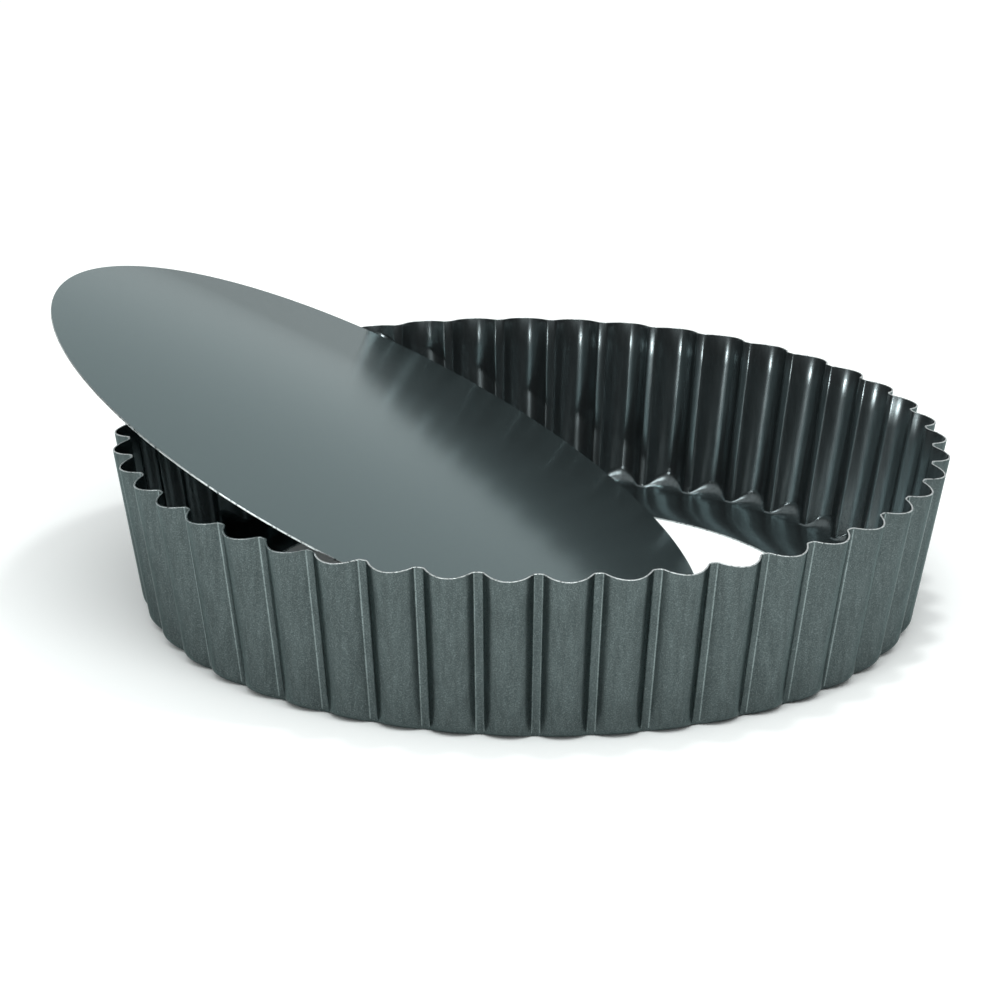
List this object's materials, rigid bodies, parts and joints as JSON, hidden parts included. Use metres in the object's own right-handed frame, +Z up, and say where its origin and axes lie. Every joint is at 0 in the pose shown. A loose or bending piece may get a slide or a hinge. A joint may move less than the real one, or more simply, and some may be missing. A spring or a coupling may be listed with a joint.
{
  "type": "loose-base quiche tin",
  "caption": "Deep round fluted quiche tin in two pieces: a tapered ring with an inward ledge round a large hole, and a flat loose base, lifted out and leaning on the rim.",
  "frame": {"origin": "middle of the floor area that the ring and the leaning base cover together, at table level; the ring's axis stands 9.2 mm from it towards +X", "axes": "+Z up from the table; +X from the base's raised end to its low end; +Y square to both, along the line on which the base leans on the rim"},
  "size_m": [0.2728, 0.2546, 0.0944],
  "materials": {
    "ring_coating": "fine-grained dark grey non-stick coating on pressed steel, satin",
    "base_coating": "smooth dark grey non-stick coating on flat steel sheet, satin to semi-gloss"
  },
  "bodies": {
    "ring": {"fluted_ring": "ring_coating"},
    "base": {"loose_base": "base_coating"}
  },
  "joints": [
    {"name": "lift_out", "type": "slide", "parent": "ring", "child": "base", "axis": [0, 0, 1], "range_m": [0, 0.06]}
  ]
}
